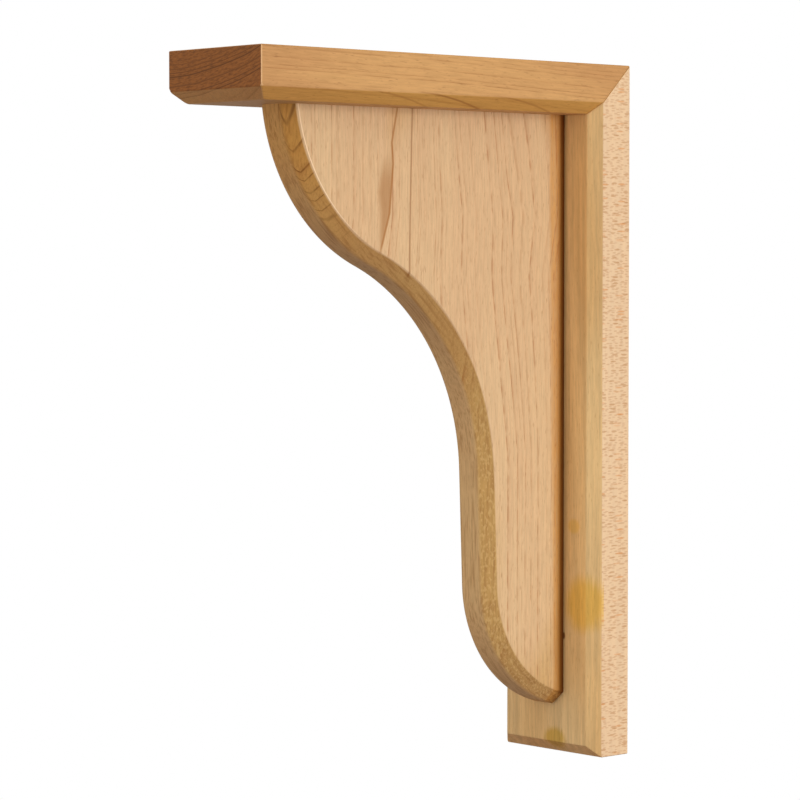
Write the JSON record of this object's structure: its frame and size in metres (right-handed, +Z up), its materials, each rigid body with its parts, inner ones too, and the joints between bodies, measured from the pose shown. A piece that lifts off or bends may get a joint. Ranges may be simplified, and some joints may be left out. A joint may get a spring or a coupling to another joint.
{
  "type": "wooden corbel bracket",
  "caption": "Corbel bracket of three boards: a level arm mitred to an upright back board, with a scrolled brace between them, for holding up a shelf or a counter's overhang.",
  "frame": {"origin": "middle of the flat face that lies on the wall", "axes": "+X across the bracket's width, +Y into the wall, so the bracket stands out towards -Y, +Z up"},
  "size_m": [0.07, 0.245, 0.356],
  "materials": {
    "arm_wood": "satin",
    "back_wood": "satin",
    "brace_wood": "satin"
  },
  "bodies": {
    "root": {"arm": "arm_wood", "back_board": "back_wood", "brace": "brace_wood"}
  },
  "joints": []
}
